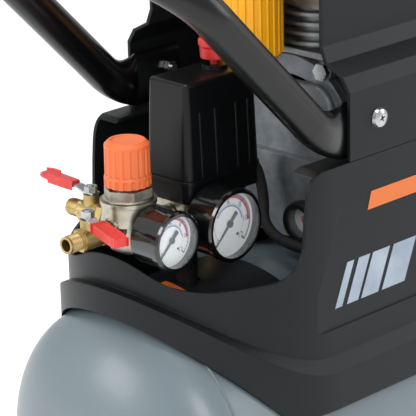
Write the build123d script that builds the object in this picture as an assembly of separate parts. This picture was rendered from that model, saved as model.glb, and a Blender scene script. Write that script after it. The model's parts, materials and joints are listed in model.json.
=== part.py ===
from build123d import *
import math
import os

# Portable direct-drive air compressor on one horizontal tank.
# Millimetres. X runs along the tank towards its wheels, Z is up.
# The origin is on the floor under the middle of the tank.

# --- driving dimensions ---
tank_radius = 125.0
tank_wall = 2.5
tank_straight = 406.0
dome_depth = 62.0
floor_gap = 35.0
touch = 0.5  # gap between neighbouring covers
run_gap = 0.05  # radial clearance of a running fit

port_rise = 65.0  # manifold centre above the tank
riser_setback = 60.0  # riser behind the front end of the straight tank wall
riser_radius = 8.5

shroud_half = 120.0
shroud_wall = 3.0
shroud_flare = 7.5
shroud_rise = 112.0  # top of the side walls above the tank
nose_setback = 97.0  # nose arc centre behind the front end of the straight wall
rear_overhang = 47.0
rear_corner = 35.0
tank_gap = 2.0  # shroud skirt over the tank

hood_front_setback = 117.0
hood_shoulder = 54.0  # height of the hood's lower side wall
hood_neck_half = 92.5
hood_height = 163.0
hood_wall = 3.0

tube_radius = 14.5
tube_wall = 1.8
handle_half = 112.0
handle_drop = 23.0  # handle end above the shroud's top
handle_reach = 147.0  # how far the legs rise and lean forward
tab_height = 44.0
tab_thick = 9.0

cover_width = 81.0  # switch cover along X
cover_depth = 47.0
cover_height = 76.0
cover_draft = 2.2  # degrees
base_height = 18.0

knob_radius = 18.0
knob_height = 35.0
regulator_offset = 60.0
regulator_radius = 21.0
small_gauge_radius = 23.5
large_gauge_radius = 29.0

wheel_radius = 50.0
wheel_width = 24.0
stub_radius = 6.0
wheel_inner_y = 113.0

crank_rise = 98.0  # crank axis above the tank
case_radius = 64.0
bore_radius = 21.0
crank_throw = 18.0
rod_length = 75.0
motor_radius = 70.0
shaft_radius = 9.0

# --- places worked out from them ---
tank_z = floor_gap + tank_radius
tank_top = tank_z + tank_radius
tank_front = -tank_straight / 2
riser_x = tank_front + riser_setback
port_z = tank_top + port_rise
nose_x = tank_front + nose_setback
shroud_rear = -tank_front + rear_overhang
shroud_top = tank_top + shroud_rise
hood_x = tank_front + hood_front_setback
hood_top = shroud_top + hood_height
handle_z = shroud_top + handle_drop
bend_x = hood_x - 22
regulator_x = riser_x - regulator_offset
crank_z = tank_top + crank_rise
ledge_radius = tank_radius + 23

BOLT = {"head": 6.5, "height": 5.0, "shank": 4.0}
NODES = {}


# --- helpers ---
def frame(axis, start, u, v):
    """A plane whose normal runs along an axis, at start on it and u, v on the other two."""
    sign = -1 if axis[0] == "-" else 1
    places = {
        "x": ((start, u, v), (0, 1, 0), (sign, 0, 0)),
        "y": ((u, start, v), (1, 0, 0), (0, sign, 0)),
        "z": ((u, v, start), (1, 0, 0), (0, 0, sign)),
    }
    origin, x_dir, z_dir = places[axis[-1]]
    return Plane(origin=origin, x_dir=x_dir, z_dir=z_dir)


def rod(axis, radius, start, end, u, v):
    return extrude(frame(axis, start, u, v) * Circle(radius), end - start)


def pipe(axis, outer, inner, start, end, u, v):
    return rod(axis, outer, start, end, u, v) - rod(axis, inner, start, end, u, v)


def hexrod(axis, flats, start, end, u, v, bore=0.0):
    nut = extrude(frame(axis, start, u, v) * RegularPolygon(flats / 2, 6, major_radius=False), end - start)
    return nut - rod(axis, bore, start, end, u, v) if bore else nut


def block(x0, x1, y0, y1, z0, z1):
    return Pos((x0 + x1) / 2, (y0 + y1) / 2, (z0 + z1) / 2) * Box(x1 - x0, y1 - y0, z1 - z0)


def turned(points, place):
    """A solid of revolution from (radius, height) points about the place's normal."""
    return place.location * revolve(make_face(Plane.XZ * Polyline(*points, close=True)), Axis.Z)


def both_sides(solid):
    return [solid, mirror(solid, Plane.XZ)]


def save(name, *solids):
    loose = [s for item in solids for s in (item if isinstance(item, list) else [item])]
    parts = [p for s in loose for p in s.solids()]
    NODES[name] = parts
    export_step(parts[0] if len(parts) == 1 else Compound(children=parts), f"parts/{name}.step")


# --- tank ---
def tank_body(radius, depth):
    half = tank_straight / 2
    line = [
        Line((-half - depth, 0), (half + depth, 0)),
        EllipticalCenterArc((half, 0), depth, radius, 0, arc_size=90),
        Line((half, radius), (-half, radius)),
        EllipticalCenterArc((-half, 0), depth, radius, 90, arc_size=90),
    ]
    return Pos(0, 0, tank_z) * revolve(make_face(line), Axis.X)


check_x = riser_x + 77
check_y = 50.0
boss_radius = 14.0
boss_bore = 8.5
boss_proud = 6.0
riser_boss_proud = 1.0  # stays under the floor of the front bay
check_boss_top = tank_z + math.sqrt(tank_radius**2 - check_y**2) + 8.5
drain_x = 0.0
dome_tip = tank_straight / 2 + dome_depth


def tank():
    shell = tank_body(tank_radius, dome_depth) - tank_body(tank_radius - tank_wall, dome_depth - tank_wall)
    ends = both_ends(rod("x", boss_radius, dome_tip - boss_proud, dome_tip + boss_proud, 0, tank_z))
    low = tank_z - tank_radius
    tops = top_bosses(boss_radius)
    drain = rod("z", boss_radius, low - boss_proud, low + 8, drain_x, 0)
    for boss in [*ends, *tops, drain]:
        shell -= boss
    save("tank_shell", shell)
    bores = top_bosses(boss_bore)
    end_bores = both_ends(rod("x", boss_bore, dome_tip - boss_proud, dome_tip + boss_proud, 0, tank_z))
    drain_bore = rod("z", boss_bore, low - boss_proud, low + 8, drain_x, 0)
    rings = [b - h for b, h in zip([*ends, *tops, drain], [*end_bores, *bores, drain_bore])]
    save("tank_bosses", rings)
    plug = rod("x", boss_bore, dome_tip - boss_proud, dome_tip + boss_proud, 0, tank_z)
    plug += hexrod("x", 17, dome_tip + boss_proud, dome_tip + boss_proud + 5, 0, tank_z)
    save("end_plugs", both_ends(plug))


def top_bosses(radius):
    return [
        rod("z", radius, tank_top - 8, tank_top + riser_boss_proud, riser_x, 0),
        rod("z", radius, check_boss_top - 24, check_boss_top, check_x, check_y),
    ]


def both_ends(solid):
    return [mirror(solid, Plane.YZ), solid]


def tank_cut(gap=0.0):
    return rod("x", tank_radius + gap, -400, 400, 0, tank_z)


# --- feet, axle brackets and wheels ---
foot_x = tank_front + 58
foot_y = 72.0
pad_height = 12.0
strap_thick = 3.0
axle_x = -tank_front - 48


def foot():
    width = 20.0
    strap = rod("x", tank_radius + strap_thick, foot_x - width, foot_x + width, 0, tank_z) - tank_cut()
    strap &= block(foot_x - width, foot_x + width, -foot_y - strap_thick, foot_y + strap_thick, 0, tank_z)
    web = block(foot_x - width, foot_x + width, foot_y, foot_y + strap_thick, pad_height, tank_z - 60)
    shelf_top = pad_height + strap_thick
    shelf = block(foot_x - width, foot_x + width, foot_y - 16, foot_y + 24, pad_height, shelf_top)
    side = (web + shelf) - tank_cut()
    strap += side
    strap += mirror(side, Plane.XZ)
    save("front_foot", strap)
    pad = turned(
        [(0, 0), (15, 0), (17, 2), (15, pad_height), (0, pad_height)],
        frame("z", 0, foot_x, foot_y + 4),
    )
    save("rubber_feet", both_sides(pad))


def axle_parts():
    web_y = wheel_inner_y - 10
    half = 20.0
    web = block(axle_x - half, axle_x + half, web_y - 4, web_y, wheel_radius - 18, tank_z - 60)
    hug = rod("x", tank_radius + 4, axle_x - half, axle_x + half, 0, tank_z)
    hug &= block(axle_x - half, axle_x + half, 60, web_y, 0, tank_z - 60)
    plate = (web + hug) - tank_cut() - rod("y", stub_radius, 60, 140, axle_x, wheel_radius)
    save("axle_brackets", both_sides(plate))
    outer = wheel_inner_y + wheel_width
    bolt = rod("y", stub_radius, web_y - 12, outer + 1, axle_x, wheel_radius)
    bolt += turned([(0, 0), (11, 0), (11, 2), (8, 5), (0, 6)], frame("y", outer + 1, axle_x, wheel_radius))
    nut = hexrod("y", 18, web_y - 11, web_y - 4, axle_x, wheel_radius, stub_radius)
    collar = pipe("y", 9, stub_radius, web_y, wheel_inner_y - 1, axle_x, wheel_radius)
    save("axle_bolts", both_sides(bolt), both_sides(nut), both_sides(collar))


def wheels():
    rim_radius = wheel_radius - 10
    inner, outer = wheel_inner_y, wheel_inner_y + wheel_width
    bore = stub_radius + run_gap
    rim = pipe("y", 12, bore, inner, outer, axle_x, wheel_radius)
    rim += pipe("y", rim_radius, rim_radius - 4, inner + 2, outer - 2, axle_x, wheel_radius)
    rim += pipe("y", rim_radius - 2, 10, inner + 9, outer - 9, axle_x, wheel_radius)
    for k in range(6):
        angle = k * math.pi / 3
        at_x = axle_x + 24 * math.cos(angle)
        rim -= rod("y", 6, inner, outer, at_x, wheel_radius + 24 * math.sin(angle))
    tyre_profile = [
        (rim_radius, 2),
        (wheel_radius - 4, 0),
        (wheel_radius, 5),
        (wheel_radius, wheel_width - 5),
        (wheel_radius - 4, wheel_width),
        (rim_radius, wheel_width - 2),
    ]
    tyre = turned(tyre_profile, frame("y", inner, axle_x, wheel_radius))
    for side, made in (("left", (rim, tyre)), ("right", tuple(mirror(s, Plane.XZ) for s in (rim, tyre)))):
        save(f"{side}_wheel", made[0])
        save(f"{side}_tyre", made[1])


def drain():
    low = tank_z - tank_radius
    stem = 3.0
    body = rod("z", boss_bore, low - boss_proud, low + 8, drain_x, 0)
    body += hexrod("z", 19, low - boss_proud - 5, low - boss_proud, drain_x, 0)
    body -= rod("z", stem + run_gap, low - 20, low + 8, drain_x, 0)
    save("drain_valve", body)
    knob_top = low - boss_proud - 5 - touch
    knob = rod("z", stem, knob_top - 1, low, drain_x, 0)
    knob += rod("z", 8, knob_top - 6, knob_top, drain_x, 0)
    knob += block(drain_x - 15, drain_x + 15, -2, 2, knob_top - 12, knob_top - 2)
    save("drain_knob", knob)


# --- lower shroud ---
def plan(inset):
    """Outline of the shroud seen from above, moved inwards by inset."""
    half, rear = shroud_half - inset, shroud_rear - inset
    body = Pos((nose_x + rear) / 2, 0) * Rectangle(rear - nose_x, 2 * half)
    outline = fillet(body.vertices().group_by(Axis.X)[-1], rear_corner - min(inset, 0) * 0.5)
    return outline + Pos(nose_x, 0) * Circle(half)


def prism(inset, low, high):
    return extrude(Plane.XY.offset(low) * plan(inset), high - low)


def ledge(radius):
    return rod("x", radius, -400, 400, 0, tank_z)


def bay_cut():
    """What the sweeping rim takes away in front of the side walls, seen from the side."""
    nose = nose_x - shroud_half
    rim = Spline(
        (nose - 16, tank_top + 62),
        (nose - 1, tank_top + 50),
        (nose + 11, tank_top + 33),
        (nose + 33, tank_top + 28),
        (nose + 61, tank_top + 31),
        (nose + 79, tank_top + 35),
        (nose + 90, tank_top + 48),
        (nose + 93, tank_top + 68),
        (nose + 95, tank_top + 90),
        (nose + 99, tank_top + 105),
        (nose + 109, shroud_top),
    )
    top = shroud_top + 20
    edges = [
        rim,
        Line((nose + 109, shroud_top), (nose + 109, top)),
        Line((nose + 109, top), (nose - 16, top)),
        Line((nose - 16, top), (nose - 16, tank_top + 62)),
    ]
    return extrude(Plane.XZ * make_face(edges), shroud_half + 20, both=True)


label_top = -21.0
label_bottom = -129.0
shelf_width = 22.0
skirt_z = tank_z + 45


def label_recess():
    """A shallow leaning panel in each side wall."""
    z0, z1 = shroud_top + label_bottom, shroud_top + label_top
    corners = [(hood_x - 47, z0), (hood_x - 7, z1), (-hood_x + 64, z1), (-hood_x + 104, z0)]
    face = Plane.XZ * fillet(make_face(Polyline(*corners, close=True)).vertices(), 9)
    return both_sides(extrude(Pos(0, -shroud_half - 1, 0) * face, -2.2))


def shroud():
    floor_end = check_x - 16
    outer = prism(0, skirt_z + 25, shroud_top)
    outer += prism(-shroud_flare, skirt_z, shroud_top - 40) & ledge(ledge_radius)
    hollow = prism(shroud_wall, skirt_z - 5, shroud_top - shroud_wall)
    ledge_hollow = prism(shroud_wall - shroud_flare, skirt_z - 5, shroud_top - 40)
    hollow += ledge_hollow & ledge(ledge_radius - shroud_wall)
    shell = outer - hollow - prism(shelf_width, shroud_top - 10, shroud_top + 5) - bay_cut()
    floor = rod("x", tank_radius + tank_gap + 2.5, nose_x - 140, floor_end, 0, tank_z)
    floor &= prism(shroud_wall - shroud_flare - 1, skirt_z, shroud_top)
    shell = shell + floor - tank_cut(tank_gap)
    shell -= rod("z", riser_radius + 1.5, tank_top - 10, tank_top + 20, riser_x, 0)
    for x, y in shelf_screws():
        shell -= rod("z", 2.5, shroud_top - 10, shroud_top + 5, x, y)
    for recess in label_recess():
        shell -= recess
    save("lower_shroud", shell)


def shelf_screws():
    xs = (hood_x + 90, hood_x + 180, hood_x + 270)
    return [(x, side * (shroud_half - 13)) for x in xs for side in (-1, 1)]


# --- hood ---
def hood_section(inset):
    lean = inset * 0.4
    low, shoulder = shroud_top + touch, shroud_top + hood_shoulder
    half, neck = shroud_half - inset, hood_neck_half - inset
    right = [
        (half, low),
        (half, shoulder - lean),
        (half - 7, shoulder + 11 - lean),
        (neck + 5, shoulder + 19 - lean),
        (neck, shoulder + 31 - lean),
        (neck, hood_top - inset - 22),
        (neck - 22, hood_top - inset),
    ]
    left = [(-y, z) for y, z in reversed(right)]
    return make_face(Plane.YZ * Polyline(*right, *left, close=True))


def hood():
    length = shroud_rear - hood_x
    outer = extrude(Pos(hood_x, 0, 0) * hood_section(0), length) & prism(0, shroud_top, hood_top)
    hollow = extrude(Pos(hood_x, 0, 0) * hood_section(hood_wall), length)
    hollow &= prism(hood_wall, shroud_top - 5, hood_top - hood_wall)
    shell = outer - hollow
    low = shroud_top + touch
    flange = prism(0, low, low + 3) - prism(shelf_width, low - 5, low + 10)
    shell += flange & block(hood_x + 75, shroud_rear, -shroud_half, shroud_half, low, low + 3)
    for x, y in shelf_screws():
        shell -= rod("z", 2.5, low - 5, low + 10, x, y)
    shell -= rod("y", 3, -shroud_half - 5, shroud_half + 5, tab_screw_x, handle_z + 5)
    for k in range(8):
        x = shroud_rear - 130 + 11 * k
        slot = block(x - 2.5, x + 2.5, -shroud_half, shroud_half, hood_top - 85, hood_top - 38)
        shell -= fillet(slot.edges().filter_by(Axis.Y), 2.4)
    for k in range(9):
        z = shroud_top + 40 + 12 * k
        slot = block(shroud_rear - 10, shroud_rear + 5, -55, 55, z - 2.5, z + 2.5)
        shell -= fillet(slot.edges().filter_by(Axis.X), 2.4)
    save("top_hood", shell)


# --- handle ---
tab_screw_x = hood_x + 33
tab_end_x = hood_x + 48
bend_length = 21.0  # along each run, from the bend's corner to where it starts


def pressed_end():
    """The bent end of one leg, pressed from round to a flat tab inside the hood."""
    half_turn = math.radians(22.5)
    lean = bend_length * math.sqrt(0.5)
    sag = bend_length / math.tan(half_turn) * (1 / math.cos(half_turn) - 1)
    stations = [
        (bend_x - lean, lean, 45.0, tube_radius, tube_radius),
        (
            bend_x + sag * math.sin(half_turn), sag * math.cos(half_turn), 22.5,
            tube_radius * 0.8, tube_radius * 1.14,
        ),
        (hood_x - 1, 0.0, 0.0, tab_thick / 2, tab_height / 2),
    ]
    rings = []
    for x, rise, slope, thick, tall in stations:
        angle = math.radians(slope)
        facing = (math.cos(angle), 0, -math.sin(angle))
        place = Plane((x, -handle_half, handle_z + rise), x_dir=(0, 1, 0), z_dir=facing)
        rings.append(place * Ellipse(thick, tall))
    end = loft(rings) + extrude(rings[-1], tab_end_x - hood_x)
    return end - rod("y", 3, -shroud_half, shroud_half, tab_screw_x, handle_z + 5)


def handle():
    lean = bend_length * math.sqrt(0.5)
    points = [
        (bend_x - lean, -handle_half, handle_z + lean),
        (bend_x - handle_reach, -handle_half, handle_z + handle_reach),
        (bend_x - handle_reach, handle_half, handle_z + handle_reach),
        (bend_x - lean, handle_half, handle_z + lean),
    ]
    path = FilletPolyline(*points, radius=48)
    start = Plane(points[0], x_dir=(0, 1, 0), z_dir=(-1, 0, 1))
    bar = sweep(start * Circle(tube_radius), path) - sweep(start * Circle(tube_radius - tube_wall), path)
    pressed = pressed_end()
    save("handle_tube", bar + pressed + mirror(pressed, Plane.XZ))


def cover_screws():
    head_y = -shroud_half
    screw = rod("y", 3, head_y, -handle_half + 12, tab_screw_x, handle_z + 5)
    head_place = frame("-y", head_y, tab_screw_x, handle_z + 5)
    screw += turned([(0, 0), (8, 0), (7, 2.5), (4, 3.6), (0, 3.6)], head_place)
    inner_face = -handle_half + tab_thick / 2
    nut = hexrod("y", 10, inner_face, inner_face + 5, tab_screw_x, handle_z + 5, 3)
    low = shroud_top + touch + 3
    small = [
        rod("z", 2.5, low - 12, low, x, y) + rod("z", 5, low, low + 3, x, y)
        for x, y in shelf_screws()
    ]
    save("cover_screws", both_sides(screw), both_sides(nut), small)


# --- riser, manifold and pressure switch ---
manifold_low = port_z - 16
manifold_high = port_z + 3
flange_high = port_z + 11
seam_z = flange_high + base_height
cover_top = seam_z + cover_height
switch_x0 = riser_x - 20
switch_x1 = switch_x0 + cover_width
switch_y0 = -24.0
switch_y1 = switch_y0 + cover_depth
manifold_half = 13.0
gauge_z = port_z - 3
link_radius = 8.0
relief_z = port_z - 5
switch_stem = 3.5
red_x = riser_x + 37
red_y = 1.0
lead_radius = 4.5
lead_y = 14.0
lead_z = flange_high + 7
lead_end_x = 117.0
lead_end_z = crank_z - 11


def riser():
    tall = pipe("z", riser_radius, riser_radius - 2.2, tank_top - 6, manifold_low, riser_x, 0)
    save("riser_pipe", tall)
    body = block(
        riser_x - manifold_half, riser_x + manifold_half,
        -manifold_half, manifold_half,
        manifold_low, manifold_high,
    )
    body = fillet(body.edges().filter_by(Axis.Z), 3)
    arm_end = regulator_x + regulator_port
    neck = switch_x0 + 2
    body += rod("x", 3.9, neck, riser_x - manifold_half, 0, port_z - 1)
    body += rod("x", link_radius, arm_end, neck, 0, port_z - 1)
    body += hexrod("x", 19, arm_end + 4, arm_end + 12, 0, port_z - 1)
    body -= rod("z", 5, manifold_low - 1, manifold_high - 2, riser_x, 0)
    body -= rod("x", 2.5, arm_end - 1, riser_x, 0, port_z - 1)
    save("manifold_block", body)


def rounded_block(x0, x1, y0, y1, z0, z1, corner):
    return fillet(block(x0, x1, y0, y1, z0, z1).edges().filter_by(Axis.Z), corner)


def drafted(grow, low, high):
    """The cover's tapering block, grown on every side."""
    middle = Pos((switch_x0 + switch_x1) / 2, (switch_y0 + switch_y1) / 2, low)
    face = RectangleRounded(cover_width + 2 * grow, cover_depth + 2 * grow, 7 + grow)
    return extrude(middle * face, high - low, taper=cover_draft)


def switch():
    x0, x1, y0, y1 = switch_x0, switch_x1, switch_y0, switch_y1
    flange = rounded_block(x0 + 3, x1 - 12, y0 + 3, y1 - 3, manifold_high, flange_high, 5)
    flange -= rounded_block(x0 + 34, x1 - 16, y0 + 8, y1 - 8, manifold_high - 1, flange_high - 3, 3)
    save("switch_flange", flange)
    wall = 2.5
    base = rounded_block(x0, x1, y0, y1, flange_high, seam_z, 7)
    base += rounded_block(x0 - 1.2, x1 + 1.2, y0 - 1.2, y1 + 1.2, seam_z - 4, seam_z, 8)
    base -= rounded_block(x0 + wall, x1 - wall, y0 + wall, y1 - wall, flange_high + 3, seam_z + 1, 5)
    base += block(x0 + 12, x1 - 22, y0 + 10, y1 - 10, flange_high + 3, seam_z + 14)
    save("switch_base", base)
    outer = fillet(drafted(0, seam_z, cover_top).faces().sort_by(Axis.Z)[-1].edges(), 3)
    hollow = drafted(-wall, seam_z - 1, cover_top - wall)
    skin = drafted(0.6, seam_z, cover_top)
    cover = outer
    for share in (0.2, 0.4, 0.68, 0.84):
        x = x0 + share * cover_width
        cover += block(x - 0.6, x + 0.6, y0 - 1, y0 + 6, seam_z, seam_z + 52) & skin
    cover -= hollow
    cover += pipe("z", 10, switch_stem + run_gap, cover_top - 1, cover_top + 2.5, red_x, red_y)
    cover -= rod("z", switch_stem + run_gap, cover_top - 5, cover_top + 5, red_x, red_y)
    save("switch_cover", cover)
    stem_low = seam_z + 20
    knob = rod("z", switch_stem, stem_low, cover_top + 12, red_x, red_y)
    knob += turned(
        [(0, 7.8), (11.2, 7.8), (11.6, 16), (12.6, 18), (12.6, 22), (11, 23.5), (9, 23.5), (8, 22), (0, 22)],
        frame("z", cover_top, red_x, red_y),
    )
    save("switch_knob", knob)
    gland = pipe("x", 6.5, lead_radius, x1, x1 + 9, lead_y, lead_z)
    gland += hexrod("x", 17, x1 + 9, x1 + 15, lead_y, lead_z, lead_radius)
    far = pipe("y", 6.5, lead_radius, y1, y1 + 9, x1 - 20, lead_z)
    far += hexrod("y", 17, y1 + 9, y1 + 15, x1 - 20, lead_z, lead_radius)
    motor_gland = pipe("y", 8, lead_radius, -motor_radius - 18, -motor_radius, lead_end_x, lead_end_z)
    motor_gland -= rod("x", motor_radius + 4.3, case_x1, motor_x1, 0, crank_z)
    save("cable_glands", gland, far, motor_gland)




# --- regulator ---
regulator_port = 22.0
body_low = port_z - 16
ring_z = port_z + 20
knob_low = port_z + 34


def regulator():
    x = regulator_x
    body = rod("z", 15, body_low, port_z + 8, x, 0) + rod("z", regulator_radius, port_z + 5, ring_z, x, 0)
    body += rod("z", regulator_radius + 0.8, ring_z, ring_z + 3, x, 0)
    body += rod("z", 8, body_low - 4, body_low, x, 0)
    side = regulator_port
    body += rod("x", 9.5, x, x + side, 0, port_z - 1)
    body += rod("y", 9.5, -side + 5, 0, x, port_z - 1)
    body += rod("x", 9.5, x - side, x, 0, valve_z)
    body += rod("y", 9.5, 0, side, x, valve_z)
    for turn in range(4):
        leg = block(9, 14.5, -2.5, 2.5, body_low, port_z + 6)
        body += Pos(x, 0, 0) * (Rot(0, 0, 45 + 90 * turn) * leg)
    body -= rod("x", valve_thread, x - side - 1, x - side + 8, 0, valve_z)
    body -= rod("y", valve_thread, side - 8, side + 1, x, valve_z)
    body -= rod("y", gauge_stem, -side, -side + 13, x, port_z - 1)
    body -= rod("z", 16, port_z + 9, ring_z + 4, x, 0)
    save("regulator_body", body)
    bonnet = rod("z", 16, ring_z - 4, ring_z + 3, x, 0)
    bonnet += turned(
        [(0, 3), (19, 3), (19.6, 4), (18, 5), (12, 5), (12, 12), (0, 12)],
        frame("z", ring_z, x, 0),
    )
    bonnet += hexrod("z", 33, ring_z + 5, ring_z + 12, x, 0)
    bonnet += rod("z", 12, ring_z + 12, knob_low + 8, x, 0)
    bonnet -= rod("z", spindle_radius + run_gap, ring_z - 4, knob_low + 8, x, 0)
    save("regulator_bonnet", bonnet)
    save("regulator_spindle", rod("z", spindle_radius, ring_z - 2, knob_low + knob_height - 8, x, 0))
    save("regulator_knob", regulator_knob())


spindle_radius = 5.0
valve_thread = 6.0
gauge_stem = 5.0


def regulator_knob():
    crown = knob_radius - 0.8
    knob = turned(
        [
            (0, 0),
            (knob_radius, 0),
            (knob_radius, 7),
            (knob_radius - 0.6, 8),
            (crown, knob_height - 3),
            (crown - 3, knob_height),
            (crown - 5, knob_height),
            (crown - 5.6, knob_height - 0.8),
            (0, knob_height - 0.8),
        ],
        frame("z", knob_low, regulator_x, 0),
    )
    for k in range(18):
        groove = rod("z", 2.2, knob_low + 9, knob_low + knob_height - 5, regulator_x + knob_radius + 0.6, 0)
        notch = rod("z", 1.6, knob_low - 1, knob_low + 6, regulator_x + knob_radius + 0.5, 0)
        turn = Pos(regulator_x, 0, 0) * Rot(0, 0, 20 * k) * Pos(-regulator_x, 0, 0)
        knob -= turn * (groove + notch)
    knob -= rod("z", 14, knob_low - 1, knob_low + knob_height - 5, regulator_x, 0)
    hub_low = knob_low + 8 + touch
    hub = pipe("z", 8, spindle_radius + run_gap, hub_low, knob_low + knob_height - 5, regulator_x, 0)
    return knob + hub


# --- ball valves ---
hub_reach = 42.0
valve_z = port_z + 2
ball_radius = 6.5
outlet_thread = 6.6  # quarter inch pipe thread
tower_top = 15.0
lever_rise = 3.0
lever_reach = 52.0


def valve_body():
    """A small brass ball valve that points along +X from its seat at the origin."""
    hub = hub_reach - regulator_port
    body = rod("x", valve_thread, -8, 3, 0, 0)
    body += hexrod("x", 16, 2, 9, 0, 0)
    body += rod("x", 8.6, 9, hub + 9, 0, 0)
    body += hexrod("x", 16, hub + 6, hub + 10, 0, 0)
    body += rod("x", outlet_thread, hub + 10, hub + 23, 0, 0)
    body += rod("z", 6, 0, tower_top, hub, 0)
    body -= Pos(hub, 0, 0) * Sphere(ball_radius + run_gap)
    body -= rod("x", outlet_thread - 1.8, hub, hub + 24, 0, 0)
    body -= rod("x", 4, -9, hub, 0, 0)
    body -= rod("z", 2.5 + run_gap, 0, tower_top + 1, hub, 0)
    return body


def valve_lever(bend):
    """Ball, stem, bent steel lever, sleeve and nut. The lever points along +X from the stem."""
    hub = hub_reach - regulator_port
    ball = Pos(hub, 0, 0) * Sphere(ball_radius) - rod("x", 3.6, hub - 8, hub + 8, 0, 0)
    ball += rod("z", 2.5, ball_radius - 1, tower_top + 7, hub, 0)
    low = tower_top + touch
    seat, flat_end = 6.0, 12.0
    rise = bend * lever_rise
    strip = [
        (-6, 0), (seat, 0), (flat_end, rise * 0.8), (20, rise), (lever_reach, rise * 1.4),
        (lever_reach, rise * 1.4 + 1.6), (20, rise + 1.6),
        (flat_end, rise * 0.8 + 1.6), (seat, 1.6), (-6, 1.6),
    ]
    bar = extrude(Plane.XZ * make_face(Polyline(*strip, close=True)), 4, both=True)
    bar = Pos(hub, 0, low) * bar
    bar -= rod("z", 2.5, 0, 60, hub, 0)
    tip = lever_reach + 1
    grip_line = [(18, rise - 1), (tip, rise * 1.4 - 1), (tip, rise * 1.4 + 2.6), (18, rise + 2.6)]
    grip = extrude(Plane.XZ * make_face(Polyline(*grip_line, close=True)), 5, both=True)
    grip = Pos(hub, 0, low) * fillet(grip.edges().filter_by(Axis.Z), 1)
    grip -= bar
    nut = hexrod("z", 9, low + 1.6, low + 6, hub, 0, 2.5)
    return [ball, bar, grip, nut]


closed_lean = 16.0  # how far the near lever stands off its closed stop


def valves():
    near = Pos(regulator_x - regulator_port, 0, valve_z) * Rot(0, 0, 180)
    far = Pos(regulator_x, regulator_port, valve_z) * Rot(0, 0, 90)
    save("near_valve_body", near * valve_body())
    save("far_valve_body", far * valve_body())
    hub = hub_reach - regulator_port
    turn = Pos(hub, 0, 0) * Rot(0, 0, 90 - closed_lean) * Pos(-hub, 0, 0)
    save("near_valve_lever", [near * turn * s for s in valve_lever(-1)])
    save("far_valve_lever", [far * s for s in valve_lever(1)])


# --- gauges ---
def gauge(name, x, z, radius, back, depth, stem, reach):
    """A dial gauge facing -Y: case with stem, dial, lens and pointer."""
    place = frame("-y", back, x, z)
    inner = radius - 3
    case = turned(
        [
            (0, 0), (radius - 4, 0), (radius - 1.4, 2),
            (radius - 1.4, depth - 7), (radius, depth - 6),
            (radius, depth - 1.5), (radius - 1.5, depth), (inner - 0.6, depth), (inner - 0.6, depth - 1),
            (inner, depth - 1), (inner, 6), (0, 6),
        ],
        place,
    )
    case += rod("y", stem, back, reach, x, z)
    save(f"{name}_case", case)
    dial = turned([(0, depth - 9), (inner, depth - 9), (inner, depth - 8.2), (0, depth - 8.2)], place)
    save(f"{name}_dial", dial - rod("y", 1 + run_gap, back - depth, back, x, z))
    lens = turned([(0, depth - 3), (inner, depth - 3), (inner, depth - 1), (0, depth - 1)], place)
    save(f"{name}_lens", lens)
    arbor = turned(
        [
            (0, 8), (1, 8), (1, depth - 7.6),
            (radius * 0.1, depth - 7.6), (radius * 0.1, depth - 6), (0, depth - 6),
        ],
        place,
    )
    tip, tail, thick = inner * 0.84, inner * 0.42, 0.8
    blade = [(0, 1.1), (tip, 0.35), (tip, -0.35), (0, -1.1), (-tail, -1.7), (-tail, 1.7)]
    needle = extrude(make_face(Polyline(*blade, close=True)), thick)
    needle = place * Pos(0, 0, depth - 7.6) * Rot(0, 0, needle_rest) * needle
    save(f"{name}_pointer", arbor + needle)


needle_rest = 225.0


def gauges():
    gauge("small_gauge", regulator_x, port_z - 1, small_gauge_radius, -22.0, 31.0, gauge_stem, -9.0)
    gauge("large_gauge", riser_x, gauge_z, large_gauge_radius, -26.0, 29.0, 5.5, -manifold_half)


# --- safety valve ---
def relief():
    y0 = manifold_half
    body = hexrod("y", 13, y0, y0 + 8, riser_x, relief_z)
    body += rod("y", 7, y0 + 8, y0 + 28, riser_x, relief_z)
    body += rod("y", 4.5, y0 + 28, y0 + 32, riser_x, relief_z)
    body -= rod("y", 1.5 + run_gap, y0 + 12, y0 + 32, riser_x, relief_z)
    save("safety_valve", body)
    stem = rod("y", 1.5, y0 + 14, y0 + 37, riser_x, relief_z)
    ring = frame("x", riser_x, y0 + 44, relief_z).location * Torus(8, 1.1)
    save("safety_ring", stem + ring)


# --- pump ---
plate_top = tank_top + 14
case_x0 = 8.0 + hood_x + 63
case_x1 = case_x0 + 72
cover_face = case_x0 - 12
bore_x = case_x0 + 29.5
sump_half = 55.0
sump_top = crank_z - 16
ear_radius = 66.0
case_top = crank_z + case_radius
cylinder_top = case_top + 49
head_top = cylinder_top + 34
head_half = 36.0
motor_x1 = case_x1 + 121
end_x1 = motor_x1 + 22
bolt_spots = [58.0, 122.0, 190.0, 350.0]


def case_outline(radius, half, low):
    upper = Pos(0, crank_z) * Circle(radius)
    lower = Pos(0, (low + crank_z) / 2) * Rectangle(2 * half, crank_z - low)
    return upper + lower


def ears(radius):
    angles = [math.radians(a) for a in bolt_spots]
    spots = [(ear_radius * math.cos(a), ear_radius * math.sin(a)) for a in angles]
    return [Pos(y, crank_z + z) * Circle(radius) for y, z in spots]


def case_slab(outline, x0, x1):
    side = Plane(origin=(0, 0, 0), x_dir=(0, 1, 0), z_dir=(1, 0, 0))
    return extrude(side.offset(x0) * outline, x1 - x0)


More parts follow.
